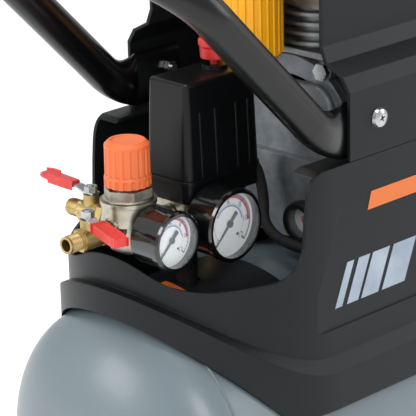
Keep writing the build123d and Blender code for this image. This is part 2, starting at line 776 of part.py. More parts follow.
def crankcase():
    half = case_radius - 6
    body = case_slab(case_outline(case_radius, half, plate_top), case_x0, case_x1)
    for ear in ears(7.8):
        body += case_slab(ear, case_x0, case_x0 + 22)
    body += block(case_x0 + 2, case_x1 - 15, -38, 38, crank_z, case_top)
    body -= case_slab(case_outline(case_radius - 10, half - 8, plate_top + 8), case_x0, case_x1 - 8)
    body -= rod("z", bore_radius + 6, crank_z, case_top + 1, bore_x, 0)
    body -= rod("x", shaft_radius + 8, case_x1 - 10, case_x1, 0, crank_z)
    for hole in ears(BOLT["shank"]):
        body -= case_slab(hole, case_x0, case_x0 + 16)
    bearing = pipe("x", shaft_radius + 8, shaft_radius + run_gap, case_x1 - 8, case_x1, 0, crank_z)
    save("crankcase", body, bearing)
    cover = case_slab(case_outline(case_radius, half, plate_top), cover_face + 6, case_x0)
    for ear in ears(7.8):
        cover += case_slab(ear, cover_face + 6, case_x0)
    dish = case_slab(Pos(0, crank_z + 4) * RectangleRounded(96, 82, 20), cover_face, cover_face + 6)
    cover += fillet(dish.faces().sort_by(Axis.X)[0].edges(), 4)
    sump = block(cover_face - 8, case_x0, -sump_half, sump_half, plate_top, sump_top)
    cover += fillet(sump.edges().filter_by(Axis.X).group_by(Axis.Z)[-1], 6)
    cover -= case_slab(Pos(0, crank_z) * Circle(case_radius - 16), cover_face + 5, case_x0)
    for hole in ears(BOLT["shank"]):
        cover -= case_slab(hole, cover_face, case_x0)
    cover -= rod("x", glass_radius + 1, cover_face - 9, case_x0, glass_y, glass_z)
    save("crankcase_cover", cover)


glass_radius = 12.0
ring_radius = 17.0
glass_y = -27.0
glass_z = plate_top + 18


def sight_glass():
    face = cover_face - 8
    ring = rod("x", glass_radius + 1, face, face + 12, glass_y, glass_z)
    half = [(0, 0), (ring_radius, 0), (ring_radius, 6), (ring_radius - 1.4, 10), (0, 10)]
    ring += turned(half, frame("-x", face, glass_y, glass_z))
    ring -= rod("x", glass_radius, face - 10, face + 9, glass_y, glass_z)
    save("sight_glass_ring", ring)
    save("sight_glass_lens", rod("x", glass_radius, face - 7, face - 4, glass_y, glass_z))


def hexbolt(axis, start, u, v, length, sign=1):
    shank = rod(axis, BOLT["shank"], start, start + length, u, v)
    low = start - BOLT["height"] if sign > 0 else start + length
    return shank + hexrod(axis, 2 * BOLT["head"], low, low + BOLT["height"], u, v)


def head_bolt_spots():
    reach = head_half - 8
    return [(bore_x + i * reach, j * reach) for i in (-1, 1) for j in (-1, 1)]


def foot_bolt_spots():
    return [(x, side * 44.0) for x in (case_x1 + 20, motor_x1 - 14) for side in (-1, 1)]


def pump_bolts():
    front = [
        hexbolt("x", cover_face + 6, ear_radius * math.cos(math.radians(a)),
                crank_z + ear_radius * math.sin(math.radians(a)), 20)
        for a in bolt_spots
    ]
    length = head_top - cylinder_top + 8
    top = [hexbolt("z", cylinder_top - 8, x, y, length, -1) for x, y in head_bolt_spots()]
    feet = [hexbolt("z", plate_top - 4, x, y, 14, -1) for x, y in foot_bolt_spots()]
    save("pump_bolts", front, top, feet)


def cylinder():
    body = rod("z", bore_radius + 6, case_top - 7, cylinder_top, bore_x, 0)
    for k in range(5):
        z = case_top + 8 * k + 8
        body += rod("z", head_half - 2, z, z + 3, bore_x, 0)
    body += block(bore_x - 34, bore_x + 34, -34, 34, case_top, case_top + 5)
    left, right = bore_x - head_half, bore_x + head_half
    body += block(left, right, -head_half, head_half, cylinder_top - 8, cylinder_top)
    body -= rod("z", bore_radius, case_top - 8, cylinder_top + 1, bore_x, 0)
    plate = block(left, right, -head_half, head_half, cylinder_top, cylinder_top + 4)
    head = block(left, right, -head_half, head_half, cylinder_top + 4, head_top)
    for k in range(6):
        x = bore_x - 25 + 10 * k
        head -= block(x - 2.5, x + 2.5, -head_half, head_half, cylinder_top + 20, head_top)
    for x, y in head_bolt_spots():
        tower = rod("z", 8, cylinder_top + 4, head_top, x, y)
        hole = rod("z", BOLT["shank"], cylinder_top - 9, head_top, x, y)
        head = head + tower - hole
        plate -= hole
        body -= hole
    head -= rod("y", outlet_radius, head_half - 14, head_half, bore_x, cylinder_top + 12)
    save("cylinder", body)
    save("cylinder_head", plate, head)


outlet_radius = 5.0
filter_radius = 25.0
filter_y = 16.0


def intake_filter():
    x = bore_x - head_half - filter_radius - 1.5
    low = case_top + 1
    shell = turned(
        [
            (0, 0), (filter_radius - 4, 0), (filter_radius - 1, 4),
            (filter_radius - 1, 66), (filter_radius - 6, 72), (0, 72),
        ],
        frame("z", low, x, filter_y),
    )
    for k in range(24):
        rib = rod("z", 1.3, low + 5, low + 64, x + filter_radius - 1.3, filter_y)
        shell += Pos(x, filter_y, 0) * Rot(0, 0, 15 * k) * Pos(-x, -filter_y, 0) * rib
    shell += rod("x", 9, x, bore_x - head_half, filter_y, cylinder_top + 14)
    shell -= rod("z", filter_radius - 5, low + 4, low + 62, x, filter_y)
    save("intake_filter", shell)


def discharge():
    z_top, z_low = cylinder_top + 12, check_boss_top + 32
    far_y = case_radius + 16
    points = [
        (bore_x, head_half - 14, z_top),
        (bore_x, far_y, z_top),
        (bore_x, far_y, z_low),
        (check_x, far_y, z_low),
        (check_x, check_y + 13, z_low),
    ]
    path = FilletPolyline(*points, radius=[20, 20, 13])
    start = frame("y", head_half - 14, bore_x, z_top)
    tube = sweep(start * Circle(outlet_radius), path) - sweep(start * Circle(outlet_radius - 1), path)
    save("discharge_tube", tube)
    seat = check_boss_top
    valve = rod("z", boss_bore, seat - 20, seat + 18, check_x, check_y)
    valve += hexrod("z", 22, seat, seat + 10, check_x, check_y)
    valve += rod("z", 10, seat + 18, seat + 41, check_x, check_y)
    valve += hexrod("z", 17, seat + 41, seat + 46, check_x, check_y)
    valve += rod("y", 8, check_y, check_y + 20, check_x, z_low)
    valve -= rod("y", outlet_radius, check_y + 13, check_y + 20, check_x, z_low)
    save("check_valve", valve)


def saddle():
    x0, x1 = cover_face + 4, end_x1 - 4
    plate = block(x0, x1, -60, 60, plate_top - 4, plate_top)
    for y in (-50, 46):
        plate += block(x0, x1, y, y + 4, tank_z, plate_top - 4)
    plate -= tank_cut()
    for x, y in foot_bolt_spots():
        plate -= rod("z", BOLT["shank"], plate_top - 5, plate_top + 1, x, y)
    save("mount_plate", plate)


# --- motor ---
def motor():
    shell = pipe("x", motor_radius, motor_radius - 4, case_x1, motor_x1, 0, crank_z)
    for k in range(30):
        fin = block(case_x1 + 14, motor_x1 - 10, -1.2, 1.2, motor_radius - 1, motor_radius + 4)
        if 5 <= k <= 25:
            shell += Pos(0, 0, crank_z) * Rot(12 * k + 180, 0, 0) * fin
    foot = block(case_x1 + 8, motor_x1 - 2, -56, 56, plate_top, plate_top + 10)
    foot += block(case_x1 + 8, motor_x1 - 2, -34, 34, plate_top + 10, crank_z - motor_radius + 12)
    foot -= rod("x", motor_radius - 4, case_x1, motor_x1, 0, crank_z)
    shell += foot
    for x, y in foot_bolt_spots():
        shell -= rod("z", BOLT["shank"], plate_top - 1, plate_top + 11, x, y)
    save("motor_housing", shell)
    rotor_radius = 38.0
    core_x0, core_x1 = case_x1 + 30, motor_x1 - 28
    core = pipe("x", motor_radius - 4, rotor_radius + 0.6, core_x0, core_x1, 0, crank_z)
    coils = [
        pipe("x", motor_radius - 10, rotor_radius + 3, core_x0 - 18, core_x0, 0, crank_z),
        pipe("x", motor_radius - 10, rotor_radius + 3, core_x1, core_x1 + 18, 0, crank_z),
    ]
    save("stator", core, coils)
    bell = rod("x", motor_radius, motor_x1, end_x1, 0, crank_z)
    bell -= rod("x", motor_radius - 5, motor_x1, end_x1 - 5, 0, crank_z)
    bell += rod("x", 20, end_x1 - 14, end_x1, 0, crank_z)
    for k in range(10):
        angle = math.radians(36 * k)
        bell -= rod("x", 7, end_x1 - 6, end_x1, 46 * math.cos(angle), crank_z + 46 * math.sin(angle))
    bell -= rod("x", shaft_radius + 6, end_x1 - 14, end_x1, 0, crank_z)
    bearing = pipe("x", shaft_radius + 6, shaft_radius + run_gap, end_x1 - 13, end_x1 - 1, 0, crank_z)
    save("motor_end_bell", bell, bearing)
    web_x = bore_x + 7.5
    shaft = rod("x", 26, web_x, web_x + 10, 0, crank_z)
    shaft -= block(web_x, web_x + 10, -26, 26, crank_z + 20, crank_z + 30)
    shaft += rod("x", shaft_radius, web_x + 10, end_x1 + 22, 0, crank_z)
    rotor = pipe("x", rotor_radius, shaft_radius, core_x0, core_x1, 0, crank_z)
    save("crankshaft", shaft, rotor)
    fan = pipe("x", 15, shaft_radius, end_x1 + 3, end_x1 + 21, 0, crank_z)
    fan += pipe("x", 60, 14, end_x1 + 3, end_x1 + 5, 0, crank_z)
    for k in range(9):
        blade = block(end_x1 + 5, end_x1 + 19, -1.2, 1.2, 14, 58)
        fan += Pos(0, 0, crank_z) * Rot(40 * k, 0, 0) * blade
    save("cooling_fan", fan)


def piston():
    pin_z = crank_z + crank_throw
    wrist_z = pin_z + rod_length
    rod_x0, rod_x1 = bore_x - 6.5, bore_x + 6.5
    link = rod("x", 15, rod_x0, rod_x1, 0, pin_z) + rod("x", 9, rod_x0, rod_x1, 0, wrist_z)
    link += block(bore_x - 4, bore_x + 4, -5, 5, pin_z, wrist_z)
    link -= rod("x", 8, rod_x0, rod_x1, 0, pin_z)
    link -= rod("x", 5, rod_x0, rod_x1, 0, wrist_z)
    radius = bore_radius - run_gap
    crown = rod("z", radius, wrist_z - 13, wrist_z + 14, bore_x, 0)
    crown -= rod("z", radius - 4, wrist_z - 13, wrist_z + 10, bore_x, 0)
    for x0 in (bore_x - radius + 3, bore_x + 7):
        crown += rod("x", 8, x0, x0 + radius - 10, 0, wrist_z)
    wrist = rod("x", 5, bore_x - 15, bore_x + 15, 0, wrist_z)
    crown -= wrist
    crank_pin = rod("x", 8, rod_x0, rod_x1 + 0.5, 0, pin_z)
    save("piston", crown, link, wrist, crank_pin)


# --- lead between the switch and the motor ---
def lead():
    points = [
        (switch_x1 + 8, lead_y, lead_z),
        (switch_x1 + 30, lead_y, lead_z),
        (switch_x1 + 32, lead_y - 10, lead_z - 30),
        (switch_x1 + 22, -4, tank_top + 25),
        (switch_x1 + 25, -46, tank_top + 15),
        (cover_face - 3, -86, tank_top + 16),
        (lead_end_x - 57, -96, tank_top + 25),
        (lead_end_x, -106, lead_end_z - 32),
        (lead_end_x, -106, lead_end_z),
        (lead_end_x, -motor_radius - 8, lead_end_z),
    ]
    runs = [math.dist(a, b) for a, b in zip(points, points[1:])]
    radii = []
    for k in range(1, len(points) - 1):
        before = Vector(points[k]) - Vector(points[k - 1])
        turn = before.get_angle(Vector(points[k + 1]) - Vector(points[k]))
        radii.append(0.45 * min(runs[k - 1], runs[k]) / math.tan(math.radians(turn / 2)))
    path = FilletPolyline(*points, radius=radii)
    tube = sweep(Plane(origin=points[0], z_dir=path % 0) * Circle(lead_radius), path)
    save("motor_lead", tube)


os.makedirs("parts", exist_ok=True)
tank()
foot()
axle_parts()
wheels()
drain()
shroud()
hood()
handle()
cover_screws()
riser()
switch()
regulator()
valves()
gauges()
relief()
crankcase()
sight_glass()
pump_bolts()
cylinder()
intake_filter()
discharge()
saddle()
motor()
piston()
lead()
print(len(NODES), "nodes")
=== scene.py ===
"""Looks for a portable air compressor, built around the CAD frame. Metres, Z up."""
import json
import math

import bmesh
import bpy
from mathutils import Matrix, Vector


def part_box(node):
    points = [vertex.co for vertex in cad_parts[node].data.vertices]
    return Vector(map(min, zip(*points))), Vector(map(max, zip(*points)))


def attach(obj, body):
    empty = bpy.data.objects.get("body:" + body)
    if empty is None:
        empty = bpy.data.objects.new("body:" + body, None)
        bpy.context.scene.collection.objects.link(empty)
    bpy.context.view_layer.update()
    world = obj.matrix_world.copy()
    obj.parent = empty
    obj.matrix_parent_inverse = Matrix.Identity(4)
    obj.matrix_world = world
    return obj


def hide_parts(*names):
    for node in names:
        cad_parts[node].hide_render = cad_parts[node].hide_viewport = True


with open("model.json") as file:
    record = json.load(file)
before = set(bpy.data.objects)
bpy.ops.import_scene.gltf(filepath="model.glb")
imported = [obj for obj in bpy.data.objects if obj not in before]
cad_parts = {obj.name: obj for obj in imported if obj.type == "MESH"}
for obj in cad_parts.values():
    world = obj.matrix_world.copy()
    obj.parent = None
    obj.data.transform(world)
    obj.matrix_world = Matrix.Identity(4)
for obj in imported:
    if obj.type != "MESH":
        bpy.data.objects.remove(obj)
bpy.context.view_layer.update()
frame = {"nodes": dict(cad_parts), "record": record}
MM = 0.001


def mm(*values):
    return Vector([v * MM for v in values])


def joint_place(name):
    """Where a hinge turns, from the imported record."""
    joints = frame["record"]["behaviour"]["joints"]
    return Vector(next(j["pos_m"] for j in joints if j["name"] == name))


# --- materials ---
def linear(code):
    """An sRGB hex colour as linear red, green, blue and alpha."""
    parts = [int(code[i : i + 2], 16) / 255 for i in (0, 2, 4)]
    return [c / 12.92 if c <= 0.04045 else ((c + 0.055) / 1.055) ** 2.4 for c in parts] + [1.0]


def add(mat, kind, settings=(), links=()):
    """Adds a shader node; settings are attributes or input values, links are (input, node, output)."""
    node = mat.node_tree.nodes.new("ShaderNode" + kind)
    for key, value in dict(settings).items():
        if hasattr(node, key):
            setattr(node, key, value)
        else:
            node.inputs[key].default_value = value
    for key, source, out in links:
        mat.node_tree.links.new(source.outputs[out], node.inputs[key])
    return node


def material(name, **sockets):
    """A Principled material with its constant sockets set. Underscores in socket names are spaces."""
    mat = bpy.data.materials.new(name)
    mat.use_nodes = True
    shader = mat.node_tree.nodes["Principled BSDF"]
    for key, value in sockets.items():
        shader.inputs[key.replace("_", " ")].default_value = value
    return mat, shader


def join(mat, source, out, shader, socket):
    mat.node_tree.links.new(source.outputs[out], shader.inputs[socket])


def grain(mat, shader, size_mm, height_mm, edge_mm=0.0, detail=3.0):
    """Surface relief from noise of that grain size, over edges that are softened by edge_mm."""
    where = add(mat, "TexCoord")
    noise = add(
        mat, "TexNoise", {"Scale": 1 / (size_mm * MM), "Detail": detail, "Roughness": 0.6},
        [("Vector", where, "Object")],
    )
    bump = add(mat, "Bump", {"Strength": 1.0, "Distance": height_mm * MM}, [("Height", noise, "Fac")])
    if edge_mm:
        edge = add(mat, "Bevel", {"samples": 4, "Radius": edge_mm * MM})
        mat.node_tree.links.new(edge.outputs["Normal"], bump.inputs["Normal"])
    join(mat, bump, "Normal", shader, "Normal")


def mottle(mat, shader, low, high, size_mm, rough=None):
    """Colour, and roughness if given, that drift between two values over size_mm."""
    where = add(mat, "TexCoord")
    noise = add(
        mat, "TexNoise", {"Scale": 1 / (size_mm * MM), "Detail": 4.0}, [("Vector", where, "Object")]
    )
    ramp = add(mat, "ValToRGB", (), [("Fac", noise, "Fac")])
    ramp.color_ramp.elements[0].position = 0.35
    ramp.color_ramp.elements[1].position = 0.65
    ramp.color_ramp.elements[0].color = linear(low)
    ramp.color_ramp.elements[1].color = linear(high)
    join(mat, ramp, "Color", shader, "Base Color")
    if rough:
        spread = add(mat, "MapRange", {"To Min": rough[0], "To Max": rough[1]}, [("Value", noise, "Fac")])
        join(mat, spread, "Result", shader, "Roughness")


def satin_tank_paint():
    """Sprayed polyester powder on rolled steel: a broad soft sheen with faint orange peel."""
    mat, shader = material("tank_polyester_powder", Coat_Weight=0.2, Coat_Roughness=0.2, IOR=1.5)
    mottle(mat, shader, "626f76", "6a777d", 180, (0.34, 0.42))
    grain(mat, shader, 2.2, 0.05, detail=2)
    return mat


def moulded_cover(name, low, high, rough, height):
    """Spark-textured ABS: a fine pebbled skin that spreads every highlight. The grain is drawn coarse."""
    mat, shader = material(name, IOR=1.53, Specular_IOR_Level=0.22)
    mottle(mat, shader, low, high, 90, rough)
    grain(mat, shader, 1.1, height, 1.2)
    return mat


def smooth_plastic(name, code, rough=0.25, **sockets):
    """Polished-mould plastic: an even colour under a clear skin, rounded at its edges."""
    mat, shader = material(name, Roughness=rough, IOR=1.5, **sockets)
    shader.inputs["Base Color"].default_value = linear(code)
    grain(mat, shader, 6, 0.012, 0.6, detail=1)
    return mat


def powder_black():
    """Gloss powder coat on drawn tube: dark, with a sharp highlight along the tube and light peel."""
    mat, shader = material("gloss_powder_coat", Roughness=0.26, IOR=1.5, Specular_IOR_Level=0.4)
    shader.inputs["Base Color"].default_value = linear("08090a")
    grain(mat, shader, 2.5, 0.03, detail=1)
    return mat


def turned_metal(name, low, high, rough, size=0.8, height=0.015, edge=0.3):
    """Machined or die-cast metal: colour that drifts a little with handling, fine tool marks."""
    mat, shader = material(name, Metallic=1.0)
    mottle(mat, shader, low, high, 9, rough)
    grain(mat, shader, size, height, edge)
    return mat


def vinyl_dip():
    """Plastisol-dipped lever sleeve: soft, slightly waxy and rounded all over."""
    mat, shader = material("dipped_vinyl", Roughness=0.38, IOR=1.52, Subsurface_Weight=0.08)
    shader.inputs["Subsurface Radius"].default_value = (0.004, 0.001, 0.001)
    mottle(mat, shader, "c42a26", "cf332e", 20)
    grain(mat, shader, 1.6, 0.03)
    return mat


def rubber(name, low, high):
    """Moulded solid rubber: almost no gloss and a dusty bloom."""
    mat, shader = material(name, IOR=1.52)
    mottle(mat, shader, low, high, 12, (0.62, 0.8))
    grain(mat, shader, 0.9, 0.04, 0.6)
    return mat


def acrylic():
    """Cast acrylic window: nearly all light goes through, with sharp faint reflections."""
    mat, shader = material("clear_acrylic", Roughness=0.03, IOR=1.49, Alpha=0.1)
    shader.inputs["Base Color"].default_value = linear("f4f8fa")
    return mat


def ink(name, code, rough=0.5):
    """Flat screen-printed or enamelled colour."""
    mat, shader = material(name, Roughness=rough)
    shader.inputs["Base Color"].default_value = linear(code)
    return mat


def copper_enamel():
    """Varnished magnet wire: strands run round the coil as fine ridges."""
    mat, shader = material("varnished_winding", Metallic=0.7, Roughness=0.35)
    mottle(mat, shader, "8a4a26", "a8643a", 6)
    grain(mat, shader, 0.7, 0.12)
    return mat


def brushed_print():
    """Metallic silver film: bright, slightly streaked along its length."""
    mat, shader = material("silver_film", Metallic=0.6, Roughness=0.34)
    mottle(mat, shader, "8d99a8", "a3aebb", 30, (0.3, 0.4))
    return mat


FINISHES = {
    "tank_paint": satin_tank_paint(),
    "textured_plastic": moulded_cover("sparked_abs", "0d1012", "121518", (0.38, 0.48), 0.06),
    "smooth_black": moulded_cover("switch_polycarbonate", "0a0b0c", "0d0e10", (0.28, 0.34), 0.01),
    "black_tube": powder_black(),
    "black_steel": smooth_plastic("black_stoving_enamel", "1b1c1e", 0.35),
    "brass": turned_metal("turned_brass", "ac9663", "c2ad7a", (0.34, 0.48)),
    "plated_brass": turned_metal("bright_brass", "b89f66", "cbb37c", (0.3, 0.42)),
    "steel_lever": turned_metal("zinc_plated_strip", "a3a6a8", "bcbfc0", (0.22, 0.34)),
    "zinc_cast": turned_metal("nickel_plated_zinc", "a29e92", "bdb8aa", (0.26, 0.4), 1.4, 0.05, 0.8),
    "zinc_screws": turned_metal("bright_zinc_plating", "a9acae", "c3c5c5", (0.2, 0.34)),
    "gauge_case": smooth_plastic("gauge_case_enamel", "0c0d0f", 0.14, Coat_Weight=0.6),
    "dial_white": ink("dial_enamel", "f6fbff", 0.4),
    "clear_lens": acrylic(),
    "needle_black": ink("needle_enamel", "0f1012", 0.35),
    "orange_knob": smooth_plastic("orange_acetal", "dd6a35", 0.4),
    "red_knob": smooth_plastic("red_acetal", "c01f1c", 0.36),
    "yellow_filter": smooth_plastic("yellow_nylon", "ffb312", 0.34),
    "cast_grey": turned_metal("silver_sprayed_casting", "7f858b", "92989d", (0.38, 0.5), 1.2, 0.12, 1.5),
    "cast_aluminium": turned_metal("sand_cast_aluminium", "93979a", "acafb0", (0.4, 0.55), 1.0, 0.12, 0.8),
    "motor_paint": smooth_plastic("motor_enamel", "303338", 0.4),
    "copper_winding": copper_enamel(),
    "machined_steel": turned_metal("ground_steel", "95989a", "b0b2b3", (0.18, 0.3)),
    "rubber_pad": rubber("foot_rubber", "161617", "202021"),
    "wheel_plastic": moulded_cover("wheel_polypropylene", "4b4e52", "5a5d61", (0.42, 0.55), 0.05),
    "tyre_rubber": rubber("tyre_compound", "18181a", "232325"),
    "cable_jacket": rubber("cable_rubber", "101011", "19191a"),
    "copper_pipe": turned_metal("drawn_copper", "a96335", "c07a48", (0.2, 0.36)),
}
FINISHES["cast_grey"].node_tree.nodes["Principled BSDF"].inputs["Metallic"].default_value = 0.55
VINYL = vinyl_dip()
SILVER = brushed_print()
TAG_ORANGE = ink("orange_film", "d3691f", 0.38)
BLACK_INK = ink("black_print", "16181a")
RED_INK = ink("red_print", "c81e2a")
BLUE_INK = ink("blue_print", "2f86c4")
# painted shade: flat near-black ink laid on the screw heads in place of the shade inside their cross recesses
PAINTED_RECESS_SHADE = ink("shadowed_recess", "0b0b0c", 0.7)
RED_DOT = ink("red_level_mark", "d41f1c", 0.3)

for entry in frame["record"]["subparts"]:
    cad = frame["nodes"][entry["node"]]
    cad.data.materials.clear()
    cad.data.materials.append(FINISHES[entry["material_slot"]])


# --- piece helpers ---
def piece(name, bm, mats, body, smooth=40):
    """Turns a bmesh in row metres into a piece that rides on a body."""
    bmesh.ops.remove_doubles(bm, verts=bm.verts, dist=1e-6)
    bmesh.ops.recalc_face_normals(bm, faces=bm.faces)
    mesh = bpy.data.meshes.new(name)
    bm.to_mesh(mesh)
    bm.free()
    obj = bpy.data.objects.new(name, mesh)
    bpy.context.scene.collection.objects.link(obj)
    for mat in mats if isinstance(mats, list) else [mats]:
        mesh.materials.append(mat)
    mesh.shade_smooth()
    mesh.set_sharp_from_angle(angle=math.radians(smooth))
    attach(obj, body)
    return obj


def turn_to(direction, up=(0, 0, 1)):
    """Rotation that takes local Z to direction, with local Y as near up as it can be."""
    z = Vector(direction).normalized()
    x = Vector(up).cross(z).normalized()
    return Matrix((x, z.cross(x), z)).transposed().to_4x4()


def spin_profile(bm, points, place, steps=48, index=0):
    """Revolves an open (radius, height) outline about the place's Z."""
    verts = [bm.verts.new(place @ Vector((r, 0, h))) for r, h in points]
    edges = [bm.edges.new(pair) for pair in zip(verts, verts[1:])]
    made = bmesh.ops.spin(
        bm, geom=verts + edges, angle=math.tau, steps=steps, use_merge=True,
        axis=place.to_3x3() @ Vector((0, 0, 1)), cent=place.translation,
    )
    for face in {f for v in made["geom_last"] if isinstance(v, bmesh.types.BMVert) for f in v.link_faces}:
        face.material_index = index


def box_at(bm, place, size, index=0, shear=0.0):
    """A box of that size centred on a place; shear leans its local X with local Y."""
    lean = Matrix(((1, shear, 0, 0), (0, 1, 0, 0), (0, 0, 1, 0), (0, 0, 0, 1)))
    scale = Matrix.Diagonal((*size, 1))
    made = bmesh.ops.create_cube(bm, size=1, matrix=place @ lean @ scale)
    for face in {f for v in made["verts"] for f in v.link_faces}:
        face.material_index = index
    return made["verts"]


def soften(bm, width, segments=2):
    bmesh.ops.bevel(
        bm, geom=bm.edges[:], offset=width, offset_type="OFFSET", segments=segments, affect="EDGES",
        profile=0.5, material=-1, clamp_overlap=True,
    )


# --- gauge dials ---
SWEEP_START, SWEEP = 225.0, 270.0


def text_into(bm, words, height, place, index):
    """Dial figures as flat outlines laid on the place."""
    curve = bpy.data.curves.new("figures", "FONT")
    curve.body, curve.size, curve.align_x, curve.align_y = words, height, "CENTER", "CENTER"
    holder = bpy.data.objects.new("figures", curve)
    bpy.context.scene.collection.objects.link(holder)
    mesh = bpy.data.meshes.new_from_object(holder.evaluated_get(bpy.context.evaluated_depsgraph_get()))
    first = len(bm.faces)
    mesh.transform(place)
    bm.from_mesh(mesh)
    bm.faces.ensure_lookup_table()
    for face in bm.faces[first:]:
        face.material_index = index
    bpy.data.objects.remove(holder)
    bpy.data.curves.remove(curve)
    bpy.data.meshes.remove(mesh)


def arc_band(bm, place, inner, outer, start, end, index, steps=24):
    """A flat printed band between two angles, in degrees from local X."""
    first = math.radians(start)
    ray = Vector((math.cos(first), math.sin(first), 0))
    verts = [bm.verts.new(place @ (ray * r)) for r in (inner, outer)]
    edge = bm.edges.new(verts)
    made = bmesh.ops.spin(
        bm, geom=[*verts, edge], angle=math.radians(end - start), steps=steps,
        axis=place.to_3x3() @ Vector((0, 0, 1)), cent=place.translation,
    )
    faces = {f for v in verts + made["geom_last"] if isinstance(v, bmesh.types.BMVert) for f in v.link_faces}
    grown = True
    while grown:
        more = {n for f in faces for e in f.edges for n in e.link_faces} - faces
        faces |= more
        grown = bool(more)
    for face in faces:
        face.material_index = index


def dial_print(name, node, majors, minor_steps, figures, red_from):
    """Scale, figures and warning arc, laid just in front of a dial."""
    low, high = (Vector(c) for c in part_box(node))
    radius = (high.x - low.x) / 2
    centre = (low + high) / 2
    proud = 0.06 * MM
    place = Matrix.Translation((centre.x, low.y - proud, centre.z)) @ turn_to((0, -1, 0))
    bm = bmesh.new()
    arc_band(bm, place, radius * 0.875, radius * 0.9, SWEEP_START - SWEEP, SWEEP_START, 0, 60)
    arc_band(bm, place, radius * 0.6, radius * 0.61, SWEEP_START - SWEEP, SWEEP_START, 1, 48)
    last = SWEEP_START - SWEEP + 40
    arc_band(bm, place, radius * 0.77, radius * 0.86, last, last + red_from, 1)
    arc_band(bm, place, radius * 0.52, radius * 0.57, last + 10, last + red_from + 60, 2)
    steps = majors * minor_steps
    for k in range(steps + 1):
        angle = math.radians(SWEEP_START - SWEEP * k / steps)
        long = k % minor_steps == 0
        inner = radius * (0.76 if long else 0.83)
        size = (radius * 0.89 - inner, radius * (0.05 if long else 0.024), proud)
        reach = (inner + radius * 0.89) / 2
        spot = place @ Matrix.Rotation(angle, 4, "Z") @ Matrix.Translation((reach, 0, 0))
        box_at(bm, spot, size, 0)
        if long and figures:
            at = Matrix.Translation((math.cos(angle) * radius * 0.665, math.sin(angle) * radius * 0.665, 0))
            text_into(bm, str(k // minor_steps * figures), radius * 0.24, place @ at, 0)
    for side in (-1, 1):
        spot = place @ Matrix.Translation((side * radius * 0.34, -radius * 0.4, proud * 2))
        bmesh.ops.create_circle(bm, cap_ends=True, segments=16, radius=radius * 0.05, matrix=spot)
    piece(name, bm, [BLACK_INK, RED_INK, BLUE_INK], "machine")


def gauge_dials():
    dial_print("small_dial_print", "small_gauge_dial", 6, 5, 2, 95)
    dial_print("large_dial_print", "large_gauge_dial", 6, 10, 2, 95)


# --- levers ---
LEAN = 16  # degrees that the near lever stands off its closed stop
SLEEVE_START, SLEEVE_END = 17 * MM, 54 * MM
LEVER_RISE = 3 * MM  # bend of the strip between its seat and the sleeve
STRIP_MIDDLE = 1.3 * MM  # of its seat, above the joint's stated place


def lever_sleeve(name, joint, body, heading, bend):
    """Dipped sleeve over the outer part of a valve's lever, wider towards its round tip."""
    hub = joint_place(joint)
    turn = Matrix.Translation(hub) @ Matrix.Rotation(math.radians(heading), 4, "Z")
    bm = bmesh.new()
    box_at(bm, Matrix.Identity(4), (1, 1, 1))
    lengthwise = [e for e in bm.edges if abs(e.verts[0].co.x - e.verts[1].co.x) > 0.5]
    bmesh.ops.subdivide_edges(bm, edges=lengthwise, cuts=5)
    for v in bm.verts:
        share = v.co.x + 0.5
        reach = SLEEVE_START + (SLEEVE_END - SLEEVE_START) * share
        half = (5.2 + 1.1 * math.sqrt(share) - 1.6 * share**8) * MM
        thick = (2.4 - 0.5 * share**8) * MM
        lift = STRIP_MIDDLE + LEVER_RISE * bend * (1 + 0.4 * share)
        v.co = turn @ Vector((reach, half * 2 * v.co.y, lift + thick * 2 * v.co.z))
    soften(bm, 1.5 * MM, 4)
    piece(name, bm, VINYL, body)


# --- threads and welds ---
OUTLET_HEIGHT = 352 * MM  # centre line of both outlets
THREAD_RADIUS, THREAD_LENGTH, THREAD_PITCH = 6.6 * MM, 10.6 * MM, 1.34 * MM
THREAD_START = 11.5 * MM  # behind the mouth


def thread_rings(name, place):
    """A turned male thread as close ridges along the place's Z."""
    count = int(THREAD_LENGTH / THREAD_PITCH)
    foot, valley, crest = THREAD_RADIUS - 0.5 * MM, THREAD_RADIUS - 0.15 * MM, THREAD_RADIUS + 0.3 * MM
    outline = [(foot, 0)]
    for k in range(count):
        outline.append((valley, (k + 0.1) * THREAD_PITCH))
        outline.append((crest, (k + 0.5) * THREAD_PITCH))
    outline.append((valley, count * THREAD_PITCH))
    outline.append((foot, count * THREAD_PITCH))
    bm = bmesh.new()
    spin_profile(bm, outline, place)
    piece(name, bm, FINISHES["brass"], "machine", smooth=25)


def outlet_threads():
    spots = {"near": ((-1, 0, 0), "near_valve_body"), "far": ((0, 1, 0), "far_valve_body")}
    for name, (way, node) in spots.items():
        low, high = (Vector(c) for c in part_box(node))
        if name == "near":
            mouth = Vector((low.x, (low.y + high.y) / 2, OUTLET_HEIGHT))
        else:
            mouth = Vector(((low.x + high.x) / 2, high.y, OUTLET_HEIGHT))
        start = mouth - Vector(way) * THREAD_START
        place = Matrix.Translation(start) @ turn_to(way)
        thread_rings(f"{name}_outlet_thread", place)


def weld_bead(name, place, radius, size, waves):
    """A laid bead: a torus with a row of small overlapping ripples."""
    bm = bmesh.new()
    ring = [(radius + size * math.cos(a), size * math.sin(a)) for a in [k * math.tau / 8 for k in range(9)]]
    spin_profile(bm, ring, place, steps=waves * 4)
    centre = place.translation
    axis = place.to_3x3() @ Vector((0, 0, 1))
    side = place.to_3x3() @ Vector((1, 0, 0))
    other = axis.cross(side)
    for v in bm.verts:
        out = v.co - centre
        angle = math.atan2(out.dot(other), out.dot(side))
        v.co += axis * size * 0.18 * math.sin(angle * waves)
    piece(name, bm, FINISHES["tank_paint"], "machine")


DOME_DEPTH = 62 * MM


